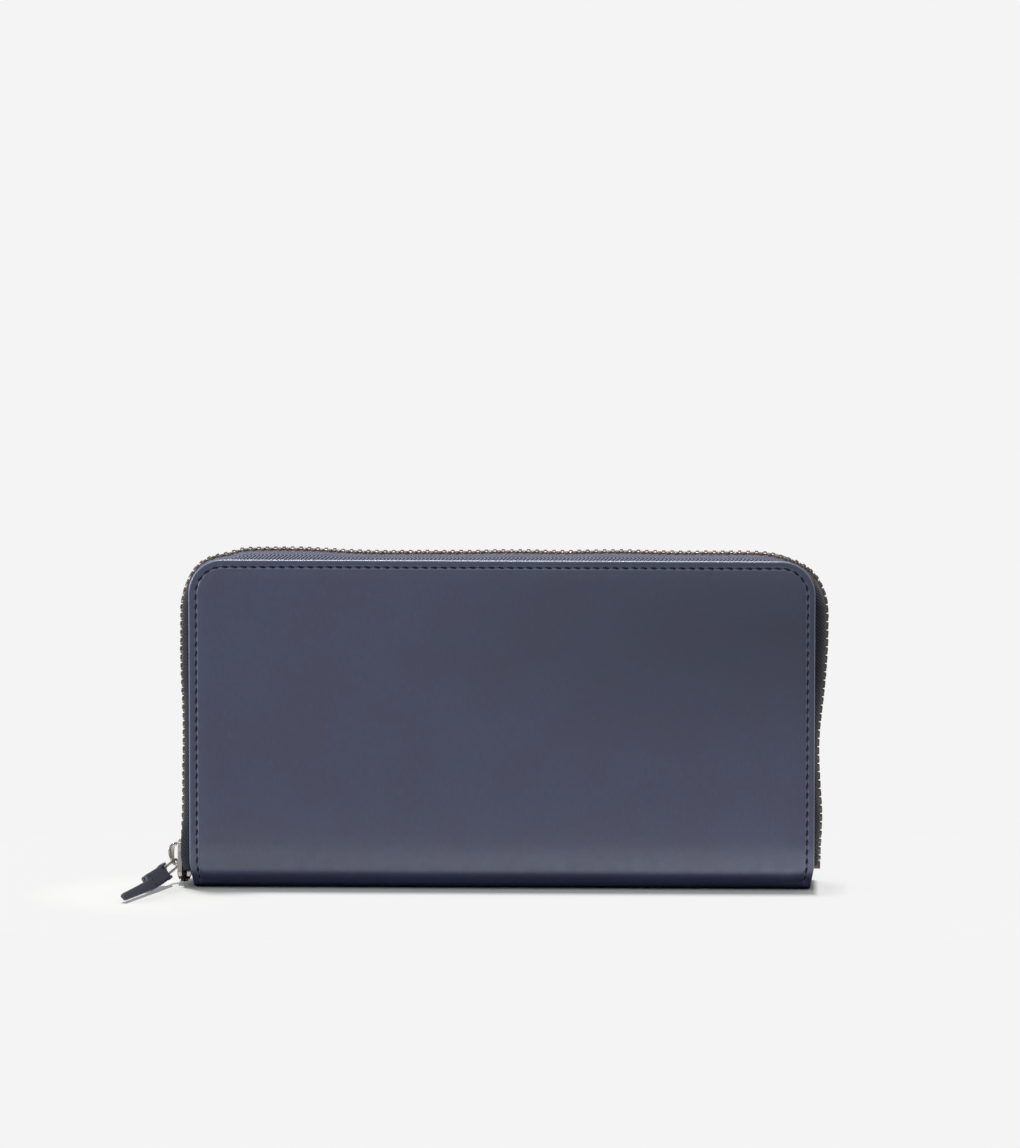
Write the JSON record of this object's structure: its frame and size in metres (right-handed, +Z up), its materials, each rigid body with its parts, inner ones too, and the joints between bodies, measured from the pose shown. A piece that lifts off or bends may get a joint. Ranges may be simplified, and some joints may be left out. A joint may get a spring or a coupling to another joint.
{
  "type": "passport holder",
  "caption": "Zip-around leather passport holder standing on its folded spine, with a metal zip, slider and leather pull tab, card pockets, passport pocket and coin pocket inside.",
  "frame": {"origin": "centre of the underside of the spine, on the surface it stands on", "axes": "+X along the spine to the right as seen from the front, +Y from the front cover to the back cover, +Z up"},
  "size_m": [0.2253, 0.0551, 0.109],
  "materials": {
    "leather": "smooth navy leather, semi matte",
    "pull_leather": "smooth navy leather",
    "pocket_leather": "smooth navy leather",
    "lining": "plain navy woven lining",
    "board": "pressed fibre stiffener",
    "zip_tape": "navy herringbone tape",
    "zip_teeth": "dark gunmetal plating",
    "slider_metal": "pale nickel plating",
    "thread": "navy waxed thread"
  },
  "bodies": {
    "back_half": {"back_cover": "leather", "spine": "leather", "spine_lining": "lining", "back_board": "board", "back_lining": "lining", "back_zip_tape": "zip_tape", "back_zip_teeth": "zip_teeth", "back_top_stop": "zip_teeth", "bottom_stop": "zip_teeth", "passport_pocket": "pocket_leather", "left_gusset": "lining", "right_gusset": "lining"},
    "front_half": {"front_cover": "leather", "front_board": "board", "front_lining": "lining", "front_zip_tape": "zip_tape", "front_zip_teeth": "zip_teeth", "front_top_stop": "zip_teeth", "slip_pocket": "lining", "card_pocket_1": "pocket_leather", "card_pocket_2": "pocket_leather", "card_pocket_3": "pocket_leather", "card_pocket_4": "pocket_leather"},
    "divider": {"coin_pocket_front": "lining", "coin_pocket_back": "lining", "coin_zip_facing": "pocket_leather", "coin_lower_tape": "zip_tape", "coin_upper_tape": "zip_tape", "coin_lower_teeth": "zip_teeth", "coin_upper_teeth": "zip_teeth"},
    "slider": {"zip_slider": "slider_metal", "slider_crown": "slider_metal"},
    "link": {"pull_link": "slider_metal"},
    "tab": {"pull_tab": "pull_leather", "tab_thread": "thread"},
    "coin_slider": {"coin_slider": "slider_metal", "coin_pull": "slider_metal"}
  },
  "joints": [
    {"name": "cover_open", "type": "hinge", "parent": "back_half", "child": "front_half", "pos_m": [0, -0.0105, 0.0035], "axis": [1, 0, 0], "range_deg": [0, 70], "deforming": ["spine", "spine_lining", "left_gusset", "right_gusset", "front_zip_tape", "front_zip_teeth", "front_top_stop", "back_zip_tape", "back_zip_teeth", "back_top_stop"]},
    {"name": "divider_swing", "type": "hinge", "parent": "back_half", "child": "divider", "pos_m": [0, -0.0006, 0.003], "axis": [1, 0, 0], "range_deg": [0, 35]},
    {"name": "slider_travel", "type": "slide", "parent": "back_half", "child": "slider", "axis": [0, 0, 1], "range_m": [0, 0.078]},
    {"name": "pull_link_swing", "type": "hinge", "parent": "slider", "child": "link", "pos_m": [-0.10527, 0, 0.0062], "axis": [-0.9135, 0.4067, 0], "range_deg": [0, 38]},
    {"name": "pull_tab_swing", "type": "hinge", "parent": "link", "child": "tab", "pos_m": [-0.10798, -0.00608, 0.00479], "axis": [-0.0846, -0.1899, 0.9781], "range_deg": [-75, 15]},
    {"name": "coin_slider_travel", "type": "slide", "parent": "divider", "child": "coin_slider", "axis": [1, 0, 0], "range_m": [0, 0.15], "deforming": ["coin_lower_tape", "coin_upper_tape", "coin_lower_teeth", "coin_upper_teeth"]}
  ],
  "couplings": [
    {"joint": "divider_swing", "follows": "cover_open", "ratio": 0.5}
  ]
}
